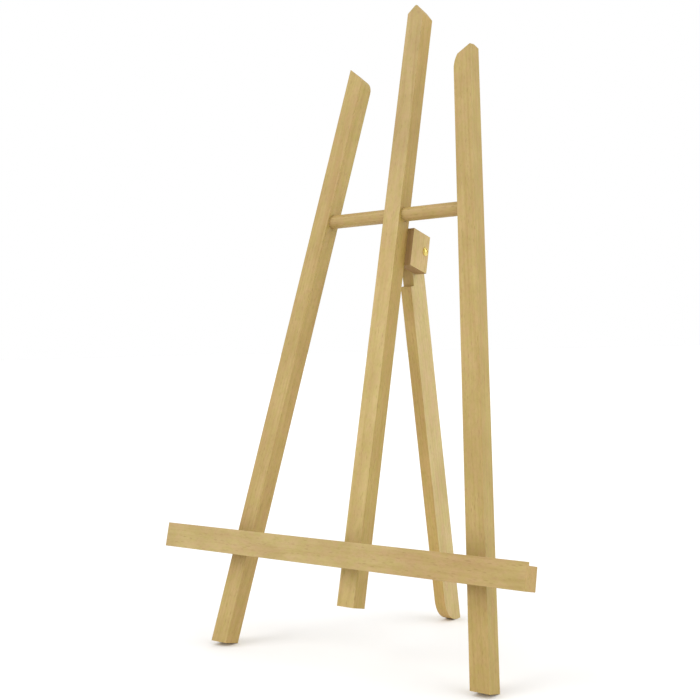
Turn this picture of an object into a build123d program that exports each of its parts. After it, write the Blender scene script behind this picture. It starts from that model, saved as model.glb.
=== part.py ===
"""Tabletop plate display stand: a leaning wooden frame of three members, with a folding rear leg.

Millimetres, +Z up, and the front faces -Y. The origin is on the table, in the middle of the
stand's bounding box. Heights on the frame are measured up its leaning front plane.
"""
import os
from math import cos, radians, sin, tan

from build123d import *

# --- Driving dimensions -------------------------------------------------------------------

# Legs and mast
stick = 16.0  # side of the square section
lean = 14.0  # backward lean of the frame, degrees
leg_foot_x = 125.7  # centre of a leg's foot, from the middle of the legs
leg_splay = 7.93  # tilt of each leg towards the mast, degrees
leg_lengths = {"left": 521.0, "right": 526.5}  # from the foot to the outer top corner
leg_top_slants = {"left": 32.0, "right": 26.0}  # falling towards the mast, from square
leg_top_rounds = {"left": 12.0, "right": 25.0}
right_tip_round = 1.0  # the right leg's outer top corner
right_bevel_back, right_bevel_down = 11.0, 3.7  # along the front edge of the right leg's top
mast_bottom = 44.5
mast_length = 524.0
mast_offset = 0.8  # its bottom end is a little to the right of the legs' middle
mast_tilt = 0.2  # and it leans further to the right, degrees
gable_drops = {"left": 8.0, "right": 10.0}
gable_round = 2.0

# Crossbar
dowel_d = 12.0
dowel_height = 373.5
dowel_half_length = 76.0
dowel_end_chamfer = 0.6
dowel_end_gap = 0.5  # between the dowel's end and the bottom of its hole
glue_gap = 0.05  # round a glued or screwed-in piece

# Ledge
ledge_length = 349.4
ledge_height = 20.5
ledge_depth = 18.0
ledge_bottom = 74.3
lip_thickness = 4.3
lip_height = 2.5
frame_from_ledge_middle = 12.3  # the ledge sits off centre, to the left

# Hinge block, behind the mast
block_width = 32.0
block_height = 33.0
block_depth = 26.5
block_bottom = 330.7
pivot_height = 349.0
pivot_behind_mast = 21.0

# Rear leg
rear_width = 10.6
rear_depth = 24.2
rear_open = 9.0  # from upright, when it is against its stop, degrees
head_above_pivot = 12.5
head_round = 9.0
waist_depth = 5.0  # a shallow step in the leg's front, just under the block
waist_bottom = 28.3  # below the pivot, along the leg
waist_top = 10.0
foot_round = 24.0
side_gap = 0.2  # between the rear leg and each cheek
stop_gap = 0.05

# Pivot screw: brass, round head, slotted
pivot_d = 4.0
pivot_gap = 0.05
pivot_tip = 13.5  # how far it passes the mast's centre plane, into the far cheek
pivot_point = 2.5
pivot_head_d = 7.6
pivot_head_height = 2.4
pivot_head_rim = 0.5
pivot_slot_width = 1.1
pivot_slot_depth = 1.1
pivot_slot_turn = 25.0

# Countersunk wood screws
screw_d = 3.4
screw_head_d = 6.8
screw_head_height = 1.7
screw_point = 2.5
recess_arm = 3.8
recess_width = 0.9
recess_depth = 1.1
ledge_screw_length = 28.0
ledge_screw_height = 82.8
block_screw_length = 18.0
block_screw_heights = {"lower": 336.5, "upper": 351.5}

os.makedirs("parts", exist_ok=True)

# --- Where things are ---------------------------------------------------------------------

lean_sin, lean_cos = sin(radians(lean)), cos(radians(lean))
open_sin, open_cos = sin(radians(rear_open)), cos(radians(rear_open))
half_stick = stick / 2
half_rear = rear_depth / 2

# The legs' ends are cut square to the frame's plane, so they stand on their rear bottom edges.
front_edge_rise = stick * lean_sin

pivot_depth = stick + pivot_behind_mast
pivot_z = front_edge_rise + pivot_height * lean_cos - pivot_depth * lean_sin
pivot_from_front = pivot_height * lean_sin + pivot_depth * lean_cos
heel_from_front = pivot_from_front + pivot_z * tan(radians(rear_open)) + half_rear / open_cos
front_y = -heel_from_front / 2

# The frame's front plane: x to the right, y up the lean, z out of the front.
front = Plane(
    origin=(frame_from_ledge_middle, front_y, front_edge_rise),
    x_dir=(1, 0, 0),
    z_dir=(0, -lean_cos, lean_sin),
)
# The mast's front face, with the origin in the middle of its bottom edge.
mast_front = Plane(
    origin=front.from_local_coords((mast_offset, mast_bottom, 0)),
    x_dir=front.x_dir.rotate(Axis((0, 0, 0), front.z_dir), -mast_tilt),
    z_dir=front.z_dir,
)
# The open rear leg: x behind it, y up it, z along the pivot, and the origin on the pivot.
swing = Plane(
    origin=(frame_from_ledge_middle, front_y + pivot_from_front, pivot_z),
    x_dir=(0, open_cos, open_sin),
    z_dir=(1, 0, 0),
)
# The crossbar: x up the lean, z along it, and the origin in the mast.
crossbar = Plane(
    origin=front.from_local_coords((0, dowel_height, -half_stick)),
    x_dir=front.y_dir,
    z_dir=(1, 0, 0),
)

# The open leg's top front corner bears on the web, which is the bottom of the block's slot.
stop_angle = radians(lean + rear_open)
head_reach = head_above_pivot * sin(stop_angle) + half_rear * cos(stop_angle)
web = pivot_behind_mast - head_reach - stop_gap
slot_width = rear_width + 2 * side_gap


def leg_point(along, outward):
    """A point of the right leg on the front plane, given along and across the leg."""
    splay = radians(leg_splay)
    return (
        leg_foot_x - along * sin(splay) + outward * cos(splay),
        along * cos(splay) + outward * sin(splay),
    )


def screw_place(x, height, depth):
    """The middle of a screw's head, with z pointing back out of the wood."""
    spot = front.from_local_coords((x, height, -depth))
    return Plane(origin=spot, x_dir=(1, 0, 0), z_dir=-front.z_dir)


def lathe_plane(place):
    """The plane of a turned piece's profile: x is the radius and y runs along place's z."""
    return Plane(origin=place.origin, x_dir=place.x_dir, z_dir=-place.y_dir)


def countersunk(place, length, gap=0.0, mode=Mode.ADD):
    """A countersunk screw with its head flush, or the hole that holds it with a gap all round."""
    shank_r = screw_d / 2 + gap
    head_r = screw_head_d / 2 + gap
    with BuildSketch(lathe_plane(place)) as outline:
        with BuildLine():
            Polyline(
                (0, 0),
                (head_r, 0),
                (shank_r, -screw_head_height),
                (shank_r, screw_point - length),
                (0, -length - gap),
                close=True,
            )
        make_face()
    revolve(outline.sketch, axis=Axis(place.origin, place.z_dir), mode=mode)


def finish(piece, name):
    """Label a piece and write it."""
    piece.part.label = name
    export_step(piece.part, f"parts/{name}.step")


leg_x_at_ledge = leg_foot_x - ledge_screw_height * tan(radians(leg_splay))
mast_x_at_ledge = mast_offset + (ledge_screw_height - mast_bottom) * tan(radians(mast_tilt))
ledge_screw_places = {
    "left": screw_place(-leg_x_at_ledge, ledge_screw_height, stick),
    "centre": screw_place(mast_x_at_ledge, ledge_screw_height, stick),
    "right": screw_place(leg_x_at_ledge, ledge_screw_height, stick),
}
block_screw_places = {
    name: screw_place(0, height, stick + web) for name, height in block_screw_heights.items()
}

# --- Front legs: square sticks with a slanted top, rounded on the mast's side --------------

half_foot = half_stick / cos(radians(leg_splay))

for side, side_name in ((-1, "left"), (1, "right")):
    length = leg_lengths[side_name]
    outer_top = leg_point(length, half_stick)
    inner_top = leg_point(length - stick * tan(radians(leg_top_slants[side_name])), -half_stick)
    outline = [(leg_foot_x + half_foot, 0), outer_top, inner_top, (leg_foot_x - half_foot, 0)]
    with BuildPart() as leg:
        with BuildSketch(front):
            with BuildLine():
                Polyline([(side * x, y) for x, y in outline], close=True)
            make_face()
            inner_corner = vertices().sort_by_distance((side * inner_top[0], inner_top[1]))[0]
            fillet(inner_corner, leg_top_rounds[side_name])
            if side_name == "right":
                fillet(vertices().sort_by_distance(outer_top)[0], right_tip_round)
        extrude(amount=-stick)
        with BuildSketch(crossbar):
            Circle(dowel_d / 2 + glue_gap)
        extrude(amount=side * (dowel_half_length + dowel_end_gap), mode=Mode.SUBTRACT)
        countersunk(ledge_screw_places[side_name], ledge_screw_length, glue_gap, Mode.SUBTRACT)
        if side_name == "right":
            # The waste of the bevel: x goes into the wood, and z runs down the slant.
            tip = front.from_local_coords((*outer_top, 0))
            slant = front.from_local_coords((*inner_top, 0)) - tip
            with BuildSketch(Plane(origin=tip, x_dir=-front.z_dir, z_dir=slant)):
                with BuildLine():
                    Polyline((0, 0), (right_bevel_back, 0), (0, right_bevel_down), close=True)
                make_face()
            extrude(amount=slant.length, mode=Mode.SUBTRACT)
    finish(leg, f"{side_name}_leg")

# --- Centre mast: its foot stays clear of the table, and its top is a gable ----------------

with BuildPart() as centre_mast:
    with BuildSketch(mast_front):
        with BuildLine():
            Polyline(
                (-half_stick, 0),
                (half_stick, 0),
                (half_stick, mast_length - gable_drops["right"]),
                (0, mast_length),
                (-half_stick, mast_length - gable_drops["left"]),
                close=True,
            )
        make_face()
        fillet(vertices().sort_by_distance((0, mast_length))[0], gable_round)
    extrude(amount=-stick)
    with BuildSketch(crossbar):
        Circle(dowel_d / 2 + glue_gap)
    extrude(amount=stick, both=True, mode=Mode.SUBTRACT)
    countersunk(ledge_screw_places["centre"], ledge_screw_length, glue_gap, Mode.SUBTRACT)
    for place in block_screw_places.values():
        countersunk(place, block_screw_length, glue_gap, Mode.SUBTRACT)
finish(centre_mast, "centre_mast")

# --- Crossbar: one dowel through the mast, ending in the legs ------------------------------

with BuildPart() as crossbar_dowel:
    with BuildSketch(crossbar):
        Circle(dowel_d / 2)
    extrude(amount=dowel_half_length, both=True)
    chamfer(crossbar_dowel.edges().filter_by(GeomType.CIRCLE), dowel_end_chamfer)
finish(crossbar_dowel, "crossbar_dowel")

# --- Display ledge: a bar with a step behind its lip, where the plate's edge stands ---------

ledge_top = ledge_bottom + ledge_height
ledge_end = Plane(
    origin=(-ledge_length / 2, front_y, front_edge_rise), x_dir=front.z_dir, z_dir=(-1, 0, 0)
)

with BuildPart() as display_ledge:
    with BuildSketch(ledge_end):
        with BuildLine():
            Polyline(
                (0, ledge_bottom),
                (ledge_depth, ledge_bottom),
                (ledge_depth, ledge_top),
                (ledge_depth - lip_thickness, ledge_top),
                (ledge_depth - lip_thickness, ledge_top - lip_height),
                (0, ledge_top - lip_height),
                close=True,
            )
        make_face()
    extrude(amount=-ledge_length)
    for place in ledge_screw_places.values():
        countersunk(place, ledge_screw_length, glue_gap, Mode.SUBTRACT)
finish(display_ledge, "display_ledge")

# --- Hinge block: two cheeks on a web that is screwed to the mast's back --------------------

block_foot = Plane(
    origin=front.from_local_coords((0, block_bottom, -stick)), x_dir=(1, 0, 0), z_dir=front.y_dir
)

with BuildPart() as hinge_block:
    with BuildSketch(block_foot):
        with BuildLine():
            Polyline(
                (-block_width / 2, 0),
                (block_width / 2, 0),
                (block_width / 2, block_depth),
                (slot_width / 2, block_depth),
                (slot_width / 2, web),
                (-slot_width / 2, web),
                (-slot_width / 2, block_depth),
                (-block_width / 2, block_depth),
                close=True,
            )
        make_face()
    extrude(amount=block_height)
    # The pivot's hole runs right through the right cheek and is blind in the left one.
    for reach in (block_width / 2, -(pivot_tip + dowel_end_gap)):
        with BuildSketch(swing):
            Circle(pivot_d / 2 + glue_gap)
        extrude(amount=reach, mode=Mode.SUBTRACT)
    for place in block_screw_places.values():
        countersunk(place, block_screw_length, glue_gap, Mode.SUBTRACT)
finish(hinge_block, "hinge_block")

# --- Rear leg: swings in the slot, with a rounded toe and a heel that stands flat ------------


def height_on_table(behind):
    """How far up the open leg's own axis the table is, at a place behind its centre line."""
    return -(pivot_z + behind * open_sin) / open_cos


toe = (-half_rear, height_on_table(-half_rear))
head_back = (half_rear, head_above_pivot)

with BuildPart() as rear_leg:
    with BuildSketch(swing):
        with BuildLine():
            Polyline(
                (half_rear, height_on_table(half_rear)),
                head_back,
                (-half_rear, head_above_pivot),
                (-half_rear, -waist_top),
                (waist_depth - half_rear, -waist_top),
                (waist_depth - half_rear, -waist_bottom),
                (-half_rear, -waist_bottom),
                toe,
                close=True,
            )
        make_face()
        fillet(vertices().sort_by_distance(toe)[0], foot_round)
        fillet(vertices().sort_by_distance(head_back)[0], head_round)
        Circle(pivot_d / 2 + pivot_gap, mode=Mode.SUBTRACT)
    extrude(amount=rear_width / 2, both=True)
finish(rear_leg, "rear_leg")

# --- Pivot screw: in from the right, through the leg and into the left cheek -----------------

cheek_face = block_width / 2
head_top = Plane(
    origin=swing.from_local_coords((0, 0, cheek_face + pivot_head_height)),
    x_dir=swing.x_dir,
    z_dir=swing.z_dir,
)

with BuildPart() as pivot_screw:
    with BuildSketch(lathe_plane(swing)):
        with BuildLine():
            Polyline(
                (0, cheek_face + pivot_head_height),
                (0, -pivot_tip),
                (pivot_d / 2, pivot_point - pivot_tip),
                (pivot_d / 2, cheek_face),
                (pivot_head_d / 2, cheek_face),
                (pivot_head_d / 2, cheek_face + pivot_head_rim),
            )
            TangentArc(
                (0, cheek_face + pivot_head_height),
                (pivot_head_d / 2, cheek_face + pivot_head_rim),
                tangent=(1, 0),
            )
        make_face()
    revolve(axis=Axis(swing.origin, swing.z_dir))
    with BuildSketch(head_top):
        Rectangle(pivot_slot_width, 2 * pivot_head_d, rotation=pivot_slot_turn)
    extrude(amount=-pivot_slot_depth, mode=Mode.SUBTRACT)
finish(pivot_screw, "pivot_screw")

# --- Countersunk screws: three through the members into the ledge, two in the block's slot ---

wood_screws = [
    (f"ledge_screw_{name}", place, ledge_screw_length) for name, place in ledge_screw_places.items()
] + [(f"block_screw_{name}", place, block_screw_length) for name, place in block_screw_places.items()]

for name, place, length in wood_screws:
    with BuildPart() as wood_screw:
        countersunk(place, length)
        with BuildSketch(place):
            Rectangle(recess_arm, recess_width)
            Rectangle(recess_width, recess_arm)
        extrude(amount=-recess_depth, mode=Mode.SUBTRACT)
    finish(wood_screw, name)
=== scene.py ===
"""Looks of the plate display stand: lacquered beech members, a turned dowel and a brass pivot screw."""
import math

import bpy
from mathutils import Matrix, Vector

MM = 0.001

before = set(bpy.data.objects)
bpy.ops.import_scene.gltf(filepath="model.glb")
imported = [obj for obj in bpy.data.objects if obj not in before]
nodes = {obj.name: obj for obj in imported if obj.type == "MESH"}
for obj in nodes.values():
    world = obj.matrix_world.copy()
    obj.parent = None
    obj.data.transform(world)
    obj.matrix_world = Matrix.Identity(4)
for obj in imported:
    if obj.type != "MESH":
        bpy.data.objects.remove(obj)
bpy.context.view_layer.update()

# Directions in the frame: the front members lean back, and the rear leg stands the other way.
LEAN = math.radians(14.0)
SPLAY = math.radians(7.93)
REAR_OPEN = math.radians(9.0)


# --- Node helpers -------------------------------------------------------------------------

# The mix node has a set of sockets for each kind of value. These are the ones for colours.
COLOUR_A, COLOUR_B, COLOUR_RESULT = 6, 7, 2
BEVEL_SAMPLES = 6


class Tree:
    """A material's node tree, with short calls for the nodes that the looks are made of."""

    def __init__(self, name):
        self.material = bpy.data.materials.new(name)
        self.material.use_nodes = True
        self.nodes = self.material.node_tree.nodes
        self.links = self.material.node_tree.links
        self.nodes.clear()
        self.shader = self.nodes.new("ShaderNodeBsdfPrincipled")
        output = self.nodes.new("ShaderNodeOutputMaterial")
        self.links.new(self.shader.outputs["BSDF"], output.inputs["Surface"])

    def put(self, value, socket):
        """Feeds a socket from another node's output, or sets it to a plain value."""
        if isinstance(value, bpy.types.NodeSocket):
            self.links.new(value, socket)
        else:
            socket.default_value = value

    def surface(self, values):
        """Sets the shader's inputs by name, from values or from other nodes."""
        for name, value in values.items():
            self.put(value, self.shader.inputs[name])

    def place(self):
        """Where a point of the surface is on the object, in metres."""
        return self.nodes.new("ShaderNodeTexCoord").outputs["Object"]

    def math(self, operation, *values):
        node = self.nodes.new("ShaderNodeMath")
        node.operation = operation
        for value, socket in zip(values, node.inputs):
            self.put(value, socket)
        return node.outputs[0]

    def plus(self, a, b):
        return self.math("ADD", a, b)

    def minus(self, a, b):
        return self.math("SUBTRACT", a, b)

    def times(self, a, b):
        return self.math("MULTIPLY", a, b)

    def total(self, start, *shares):
        """start plus each value times its share."""
        for value, share in shares:
            start = self.plus(start, self.times(value, share))
        return start

    def vector(self, operation, a, b):
        node = self.nodes.new("ShaderNodeVectorMath")
        node.operation = operation
        self.put(a, node.inputs[0])
        self.put(b, node.inputs[1])
        return node.outputs["Value" if operation == "DOT_PRODUCT" else "Vector"]

    def join(self, x, y, z):
        node = self.nodes.new("ShaderNodeCombineXYZ")
        for value, socket in zip((x, y, z), node.inputs):
            self.put(value, socket)
        return node.outputs[0]

    def noise(self, vector, scale, detail=2.0, roughness=0.5):
        node = self.nodes.new("ShaderNodeTexNoise")
        self.put(vector, node.inputs["Vector"])
        self.put(scale, node.inputs["Scale"])
        self.put(detail, node.inputs["Detail"])
        self.put(roughness, node.inputs["Roughness"])
        return node.outputs["Fac"]

    def cells(self, vector, scale):
        """Scattered cells: how far a point is from its cell's middle, and a random value per cell."""
        node = self.nodes.new("ShaderNodeTexVoronoi")
        self.put(vector, node.inputs["Vector"])
        self.put(scale, node.inputs["Scale"])
        split = self.nodes.new("ShaderNodeSeparateXYZ")
        self.put(node.outputs["Color"], split.inputs[0])
        return node.outputs["Distance"], split.outputs[0]

    def ramp(self, value, low, high):
        """A smooth step from 0 at low to 1 at high."""
        node = self.nodes.new("ShaderNodeMapRange")
        node.interpolation_type = "SMOOTHSTEP"
        for item, socket in zip((value, low, high), node.inputs):
            self.put(item, socket)
        return node.outputs[0]

    def mix(self, amount, a, b, blend="MIX"):
        node = self.nodes.new("ShaderNodeMix")
        node.data_type, node.blend_type = "RGBA", blend
        self.put(amount, node.inputs[0])
        for value, socket in ((a, node.inputs[COLOUR_A]), (b, node.inputs[COLOUR_B])):
            self.put((*value, 1.0) if isinstance(value, tuple) else value, socket)
        return node.outputs[COLOUR_RESULT]

    def bump(self, height, strength, distance):
        node = self.nodes.new("ShaderNodeBump")
        self.put(strength, node.inputs["Strength"])
        self.put(distance, node.inputs["Distance"])
        self.put(height, node.inputs["Height"])
        return node.outputs["Normal"]

    def true_normal(self):
        return self.nodes.new("ShaderNodeNewGeometry").outputs["True Normal"]

    def facing(self, direction):
        """How squarely the surface faces along a direction of the frame, either way, from 0 to 1."""
        turn = self.nodes.new("ShaderNodeVectorTransform")
        turn.vector_type, turn.convert_from, turn.convert_to = "NORMAL", "WORLD", "OBJECT"
        self.links.new(self.true_normal(), turn.inputs[0])
        return self.math("ABSOLUTE", self.vector("DOT_PRODUCT", turn.outputs[0], direction))

    def edge_wear(self, radius, flat, sharp):
        """1 on a sharp arris and 0 on a flat face, from how far the bevelled normal turns."""
        bevel = self.nodes.new("ShaderNodeBevel")
        bevel.samples = BEVEL_SAMPLES
        self.put(radius, bevel.inputs["Radius"])
        turned = self.vector("DOT_PRODUCT", bevel.outputs["Normal"], self.true_normal())
        return self.ramp(turned, flat, sharp)


def srgb(r, g, b):
    """A linear colour from 0..255 screen values."""
    def one(v):
        v /= 255
        return v / 12.92 if v <= 0.04045 else ((v + 0.055) / 1.055) ** 2.4
    return one(r), one(g), one(b)


# --- Beech ----------------------------------------------------------------------------------

BEECH_LIGHT = srgb(190, 167, 117)
BEECH_MID = srgb(180, 156, 105)
BEECH_WARM = srgb(184, 153, 108)
BEECH_LATE = srgb(166, 139, 88)
BEECH_FLECK = srgb(146, 117, 71)
END_TINT = (0.98, 0.94, 0.86)
MOTTLE_PINK = (1.045, 1.005, 1.06)
MOTTLE_YELLOW = (0.98, 1.02, 0.87)
MOTTLE_DARK = (0.93, 0.915, 0.88)

# Noises in the wood: the scale per metre across the grain, the share of that scale along it, the
# detail and the roughness. Flecks and pores are scattered cells, with the first two only.
WANDER = (14.0, 0.25, 2.0, 0.5)
CLOUD = (46.0, 0.55, 3.0, 0.55)
BAND = (60.0, 0.12, 2.0, 0.5)
HUE = (190.0, 0.6, 3.0, 0.62)
STREAK = (420.0, 0.035, 4.0, 0.6)
PATCH = (640.0, 0.5, 2.0, 0.6)
FIBRE = (2200.0, 0.02, 3.0, 0.6)
FLECK = (720.0, 0.20)
PORE = (2600.0, 0.05)

# From one piece's place in the log to the next one's, in metres: across, through and along it
LOG_STEP = (0.37, 0.71, 1.93)
# How far the grain wanders across a piece, and the share of that through it
WANDER_REACH, WANDER_THROUGH = 12 * MM, 0.6
# Growth rings: their width, how far off the log's heart is and how it turns from piece to piece,
# and the log's taper
RING_WIDTH = 2.6 * MM
HEART_AWAY, HEART_TURN = 55 * MM, 1.7
LOG_TAPER = 0.012

# Where each pattern starts to show, and where it shows in full
CLOUD_SHOWS = (0.34, 0.66)
BAND_SHOWS = (0.45, 0.70)
STREAK_SHOWS = (0.46, 0.72)
FIBRE_SHOWS = (0.48, 0.75)
LATE_RISES, LATE_FALLS = (0.35, 0.93), (1.0, 0.95)
FLECK_EDGE, FLECK_PICK = (0.36, 0.16), (0.60, 0.72)
PORE_EDGE = (0.30, 0.12)
HUE_SHOWS = (0.32, 0.68)
PATCH_SHOWS = (0.45, 0.75)
END_FACE, END_STRENGTH = (0.35, 0.9), 0.8
SIDE_FACE = (0.4, 0.9)

# The rubbed line at an arris: its width, how far the normal turns there, from flat to sharp,
# which parts of the cloud it shows in, and its strength
RUB_WIDTH = 0.7 * MM
RUB_TURN = (0.97, 0.80)
RUB_SHOWS = (0.35, 0.70)
RUB_STRENGTH = 0.30

# Thin satin lacquer, duller over open grain and on end grain, and brighter where it is rubbed
SATIN = 0.46
SATIN_STREAK, SATIN_END, SATIN_RUB = 0.16, 0.16, -0.10
SATIN_SHOWS = (0.30, 0.75)
SPECULAR = 0.32
COAT, COAT_ROUGHNESS = 0.08, 0.38
RELIEF_DEPTH, RELIEF_STRENGTH = 0.18 * MM, 0.35


def drawn_out(t, place, share):
    """A place in the log with only a share of its last axis, so that patterns are long along it."""
    x, y, z = place
    return t.join(x, y, t.times(z, share))


def wood_noise(t, place, scale, share, detail, roughness):
    return t.noise(drawn_out(t, place, share), scale, detail, roughness)


def wood_cells(t, place, scale, share):
    return t.cells(drawn_out(t, place, share), scale)


def late_wood(t, wavy, heart):
    """1 in the dark late wood of each growth ring. The rings are cut at a slant, so that they
    widen and narrow across the faces."""
    dx, dy = (t.minus(value, middle) for value, middle in zip(wavy, heart))
    radius = t.math("SQRT", t.plus(t.times(dx, dx), t.times(dy, dy)))
    radius = t.plus(radius, t.times(wavy[2], LOG_TAPER))
    ring = t.math("FRACT", t.times(radius, 1 / RING_WIDTH))
    return t.times(t.ramp(ring, *LATE_RISES), t.ramp(ring, *LATE_FALLS))


def beech(name, along, up, seed, stretch, face_tone_and_shading, side_tone_and_shading):
    """Planed beech whose grain runs along one direction. seed moves the pattern in the log.
    The faces towards up have one tone and the faces beside them another; besides the wood's tone,
    these hold painted shade and painted light for each face, and both drift along the piece."""
    t = Tree(name)
    along = Vector(along).normalized()
    side = Vector(up).cross(along).normalized()
    up = along.cross(side)
    on_object = t.place()
    distances = [t.vector("DOT_PRODUCT", on_object, axis) for axis in (side, up, along)]
    steps = [step * seed for step in LOG_STEP]
    place = [t.plus(distance, step) for distance, step in zip(distances, steps)]

    # Slow wander of the grain along the member
    x, y, z = place
    wander = t.times(t.minus(wood_noise(t, place, *WANDER), 0.5), WANDER_REACH)
    wavy = (t.plus(x, wander), t.plus(y, t.times(wander, WANDER_THROUGH)), z)

    # Growth rings, then fibres, flecks and pores, which are all long along the grain
    heart = (
        steps[0] + HEART_AWAY * math.cos(seed),
        steps[1] + HEART_AWAY * math.sin(HEART_TURN * seed),
    )
    late = late_wood(t, wavy, heart)
    fibre = wood_noise(t, wavy, *FIBRE)
    streak = wood_noise(t, wavy, *STREAK)
    band = wood_noise(t, wavy, *BAND)
    cloud = wood_noise(t, place, *CLOUD)
    fleck_away, fleck_pick = wood_cells(t, wavy, *FLECK)
    fleck = t.times(t.ramp(fleck_away, *FLECK_EDGE), t.ramp(fleck_pick, *FLECK_PICK))
    pore = t.ramp(wood_cells(t, wavy, *PORE)[0], *PORE_EDGE)

    # Colour: each pattern, its strength and its shade, laid over the ones before it
    colour = t.mix(t.ramp(cloud, *CLOUD_SHOWS), BEECH_MID, BEECH_LIGHT)
    for pattern, strength, shade in (
        (t.ramp(band, *BAND_SHOWS), 0.55, BEECH_WARM),
        (late, 0.22, BEECH_LATE),
        (t.ramp(streak, *STREAK_SHOWS), 0.34, BEECH_LATE),
        (t.ramp(fibre, *FIBRE_SHOWS), 0.20, BEECH_LATE),
        (fleck, 0.40, BEECH_FLECK),
        (pore, 0.16, BEECH_FLECK),
    ):
        colour = t.mix(t.times(pattern, strength), colour, shade)

    # Beech drifts between pinkish heartwood and yellower wood in small soft patches
    hue = t.ramp(wood_noise(t, place, *HUE), *HUE_SHOWS)
    colour = t.mix(1.0, colour, t.mix(hue, MOTTLE_PINK, MOTTLE_YELLOW), "MULTIPLY")
    patch = t.ramp(wood_noise(t, place, *PATCH), *PATCH_SHOWS)
    colour = t.mix(patch, colour, MOTTLE_DARK, "MULTIPLY")

    # End grain is a little darker and yellower, and faces and sides have their own tones, with painted
    # shade and painted light in them
    end = t.ramp(t.facing(along), *END_FACE)
    colour = t.mix(t.times(end, END_STRENGTH), colour, END_TINT, "MULTIPLY")
    # Side faces take the side tone: painted shade and painted light that set them apart from the faces
    flank = t.ramp(t.facing(side), *SIDE_FACE)
    drift = t.ramp(distances[2], *stretch)
    tone_and_shading = t.mix(flank, t.mix(drift, *face_tone_and_shading), t.mix(drift, *side_tone_and_shading))
    colour = t.mix(1.0, colour, tone_and_shading, "MULTIPLY")

    # Worn arrises: a thin paler line where the corner has been rubbed
    rub = t.times(t.edge_wear(RUB_WIDTH, *RUB_TURN), t.ramp(cloud, *RUB_SHOWS))
    colour = t.mix(t.times(rub, RUB_STRENGTH), colour, BEECH_LIGHT)

    # The surface: raised fibres, and sunken pores, flecks and late wood
    dull = t.ramp(streak, *SATIN_SHOWS)
    rough = t.total(SATIN, (dull, SATIN_STREAK), (end, SATIN_END), (rub, SATIN_RUB))
    height = t.total(0.0, (streak, 0.5), (fibre, 0.35), (pore, -0.5), (fleck, -0.25), (late, -0.15))
    t.surface({
        "Base Color": colour,
        "Roughness": rough,
        "Specular IOR Level": SPECULAR,
        "Coat Weight": COAT,
        "Coat Roughness": COAT_ROUGHNESS,
        "Normal": t.bump(height, RELIEF_STRENGTH, RELIEF_DEPTH),
    })
    return t.material


# --- Metals ---------------------------------------------------------------------------------

# Noises in the metal: the scale per metre, the detail and the roughness
TARNISH = (900.0, 3.0, 0.6)
SCRATCH = (6000.0, 2.0, 0.5)
SCRATCH_DRAWN = (1.0, 0.12, 1.0)
TARNISH_SHOWS, TARNISH_STRENGTH = (0.45, 0.75), 0.45
SCRATCH_SHOWS, SCRATCH_DULLS = (0.4, 0.7), 0.12
SCRATCH_DEPTH, SCRATCH_STRENGTH = 0.03 * MM, 0.15


def metal(name, colour, dark, roughness):
    """Bright metal with soft clouds of darker tarnish, and fine scratches drawn out along Y."""
    t = Tree(name)
    on_object = t.place()
    tarnish = t.ramp(t.noise(on_object, *TARNISH), *TARNISH_SHOWS)
    scratch = t.noise(t.vector("MULTIPLY", on_object, SCRATCH_DRAWN), *SCRATCH)
    t.surface({
        "Base Color": t.mix(t.times(tarnish, TARNISH_STRENGTH), colour, dark),
        "Metallic": 1.0,
        "Roughness": t.total(roughness, (t.ramp(scratch, *SCRATCH_SHOWS), SCRATCH_DULLS)),
        "Normal": t.bump(scratch, SCRATCH_STRENGTH, SCRATCH_DEPTH),
    })
    return t.material


# --- The stand ------------------------------------------------------------------------------

FRONT, UP, RIGHT = (0, -1, 0), (0, 0, 1), (1, 0, 0)
up_frame = Vector((0, math.sin(LEAN), math.cos(LEAN)))
rear_along = Vector((0, -math.sin(REAR_OPEN), math.cos(REAR_OPEN)))


def leg_along(side):
    return Vector((-side * math.sin(SPLAY), 0, 0)) + up_frame * math.cos(SPLAY)


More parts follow.
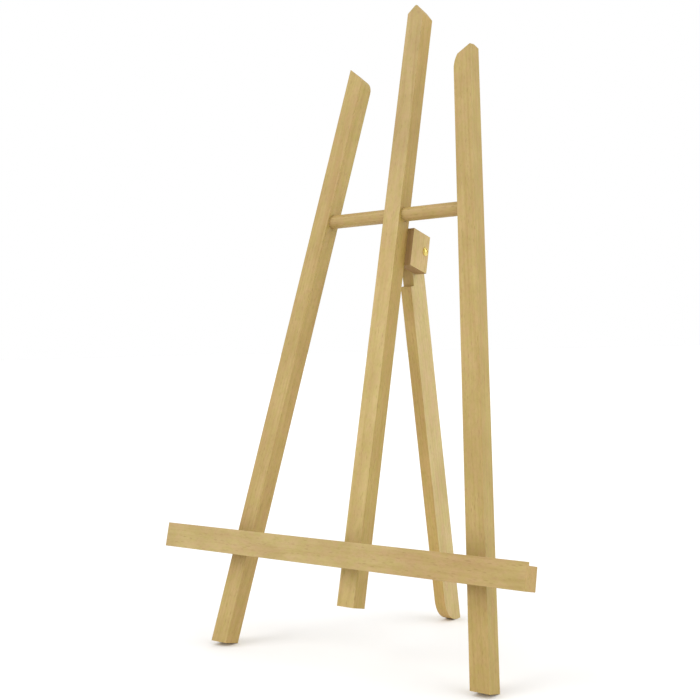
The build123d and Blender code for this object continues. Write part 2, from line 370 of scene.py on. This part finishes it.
# Each member's grain direction, the way that its face looks, its place in the log, the stretch
# along it where its colour drifts, in metres, and its face and side tones before and after that
# stretch. Besides the wood's tone, these tones hold painted shade and painted light for each face.
members = {
    "left_leg": dict(
        along=leg_along(-1), up=FRONT, seed=1.0, stretch=(0.0, 0.45),
        face_tone_and_shading=((0.88, 0.85, 0.69), (0.83, 0.785, 0.59)),
        side_tone_and_shading=((0.86, 0.80, 0.61), (0.93, 0.93, 0.72)),
    ),
    "right_leg": dict(
        along=leg_along(1), up=FRONT, seed=2.0, stretch=(0.0, 0.45),
        face_tone_and_shading=((0.85, 0.81, 0.625), (0.85, 0.81, 0.63)),
        side_tone_and_shading=((0.81, 0.80, 0.54), (0.825, 0.805, 0.57)),
    ),
    "centre_mast": dict(
        along=up_frame, up=FRONT, seed=3.0, stretch=(0.30, 0.44),
        face_tone_and_shading=((0.97, 0.965, 0.83), (0.82, 0.785, 0.65)),
        side_tone_and_shading=((0.86, 0.83, 0.53), (0.84, 0.78, 0.54)),
    ),
    "crossbar_dowel": dict(
        along=RIGHT, up=UP, seed=4.0, stretch=(-0.08, 0.10),
        face_tone_and_shading=((0.86, 0.81, 0.69), (0.85, 0.79, 0.67)),
        side_tone_and_shading=((0.86, 0.81, 0.69), (0.85, 0.79, 0.67)),
    ),
    "display_ledge": dict(
        along=RIGHT, up=UP, seed=5.0, stretch=(-0.04, 0.16),
        face_tone_and_shading=((0.91, 0.91, 0.84), (0.86, 0.83, 0.71)),
        side_tone_and_shading=((0.905, 0.905, 0.835), (0.84, 0.81, 0.69)),
    ),
    # The front tone is painted shade, the mast's shadow on the strip beside it; the side tone is
    # painted light from the right
    "hinge_block": dict(
        along=up_frame, up=FRONT, seed=6.0, stretch=(0.30, 0.35),
        face_tone_and_shading=((0.66, 0.56, 0.53), (0.66, 0.56, 0.53)),
        side_tone_and_shading=((1.08, 1.07, 1.05), (1.05, 1.04, 1.02)),
    ),
    # The side tone is painted light from the right, brighter than the other members' sides
    "rear_leg": dict(
        along=rear_along, up=FRONT, seed=7.0, stretch=(0.0, 0.24),
        face_tone_and_shading=((1.03, 0.95, 0.72), (0.93, 0.89, 0.70)),
        side_tone_and_shading=((0.95, 0.98, 0.92), (1.03, 1.09, 1.08)),
    ),
}

# Edges sharper than this are eased. The turned dowel's and the screws' edges are left as they are.
EASED_OVER = math.radians(32)
ARRIS, ARRIS_SEGMENTS = 0.35 * MM, 2
WELD_WITHIN = 0.002 * MM


def dress(node, material):
    obj = nodes[node]
    obj.data.materials.clear()
    obj.data.materials.append(material)


def ease(node):
    """Sanded arrises on a CAD node, made by modifiers so that the mesh itself is untouched."""
    obj = nodes[node]
    weld = obj.modifiers.new("weld", "WELD")
    weld.merge_threshold = WELD_WITHIN
    bevel = obj.modifiers.new("arris", "BEVEL")
    bevel.width, bevel.segments = ARRIS, ARRIS_SEGMENTS
    bevel.limit_method, bevel.angle_limit = "ANGLE", EASED_OVER
    obj.modifiers.new("normals", "WEIGHTED_NORMAL")


for name, look in members.items():
    dress(name, beech(f"beech_{name}", **look))
    if name != "crossbar_dowel":
        ease(name)

brass = metal("brass_polished", srgb(226, 206, 122), srgb(150, 126, 58), roughness=0.24)
zinc = metal("zinc_steel", srgb(196, 199, 202), srgb(120, 122, 126), roughness=0.30)
dress("pivot_screw", brass)
for name in nodes:
    if "_screw_" in name:
        dress(name, zinc)

# --- Stage ----------------------------------------------------------------------------------

FLOOR_SIZE = 60.0
PAPER_LIGHT, PAPER_DARK = (0.90, 0.90, 0.90), (0.84, 0.84, 0.84)
PAPER_TOOTH_SCALE, PAPER_TOOTH = 1400.0, 0.06
PAPER_ROUGHNESS, PAPER_SPECULAR = 0.9, 0.1


def paper():
    """Matt white studio paper with a fine tooth."""
    t = Tree("studio_paper")
    tooth = t.times(t.noise(t.place(), PAPER_TOOTH_SCALE), PAPER_TOOTH)
    t.surface({
        "Base Color": t.mix(tooth, PAPER_LIGHT, PAPER_DARK),
        "Roughness": PAPER_ROUGHNESS,
        "Specular IOR Level": PAPER_SPECULAR,
    })
    return t.material


bpy.ops.mesh.primitive_plane_add(size=FLOOR_SIZE, location=(0, 0, 0))
floor = bpy.context.object
floor.name = "studio_floor"
floor.data.materials.append(paper())


def soft_sun(name, shines_from, strength, spread):
    """A broad far light, as a large studio screen gives. spread is its width in degrees."""
    data = bpy.data.lights.new(name, "SUN")
    data.energy, data.angle = strength, math.radians(spread)
    obj = bpy.data.objects.new(name, data)
    bpy.context.scene.collection.objects.link(obj)
    obj.rotation_euler = Vector(shines_from).to_track_quat("Z", "Y").to_euler()


soft_sun("key_left", shines_from=(-0.75, -1.0, 0.9), strength=0.9, spread=40)
soft_sun("fill_right", shines_from=(1.0, 0.15, 0.55), strength=0.9, spread=60)

world = bpy.data.worlds.new("studio")
bpy.context.scene.world = world
world.use_nodes = True
background = world.node_tree.nodes["Background"]
background.inputs["Color"].default_value = (1.0, 1.0, 1.0, 1.0)
background.inputs["Strength"].default_value = 1.0

# --- Camera ---------------------------------------------------------------------------------

# In metres and degrees: yaw turns it left, pitch down, and roll about its own line of sight
CAMERA_PLACE = (0.49799, -0.74690, 0.25291)
CAMERA_YAW, CAMERA_PITCH, CAMERA_ROLL = 35.487, 0.191, -1.352
FOCAL_PIXELS = 1041.53
IMAGE_PIXELS = 700
SENSOR = 36.0

yaw, pitch, roll = (math.radians(a) for a in (CAMERA_YAW, CAMERA_PITCH, CAMERA_ROLL))
ahead = Vector((-math.sin(yaw) * math.cos(pitch), math.cos(yaw) * math.cos(pitch), -math.sin(pitch)))
level = Vector((math.cos(yaw), math.sin(yaw), 0))
above = level.cross(ahead)
right = level * math.cos(roll) + above * math.sin(roll)
top = -level * math.sin(roll) + above * math.cos(roll)
camera_data = bpy.data.cameras.new("camera")
camera_data.sensor_width = SENSOR
camera_data.lens = FOCAL_PIXELS * SENSOR / IMAGE_PIXELS
camera = bpy.data.objects.new("camera", camera_data)
bpy.context.scene.collection.objects.link(camera)
turn = Matrix((right, top, -ahead)).transposed()
camera.matrix_world = Matrix.Translation(CAMERA_PLACE) @ turn.to_4x4()
bpy.context.scene.camera = camera
bpy.context.scene.view_settings.view_transform = "Standard"
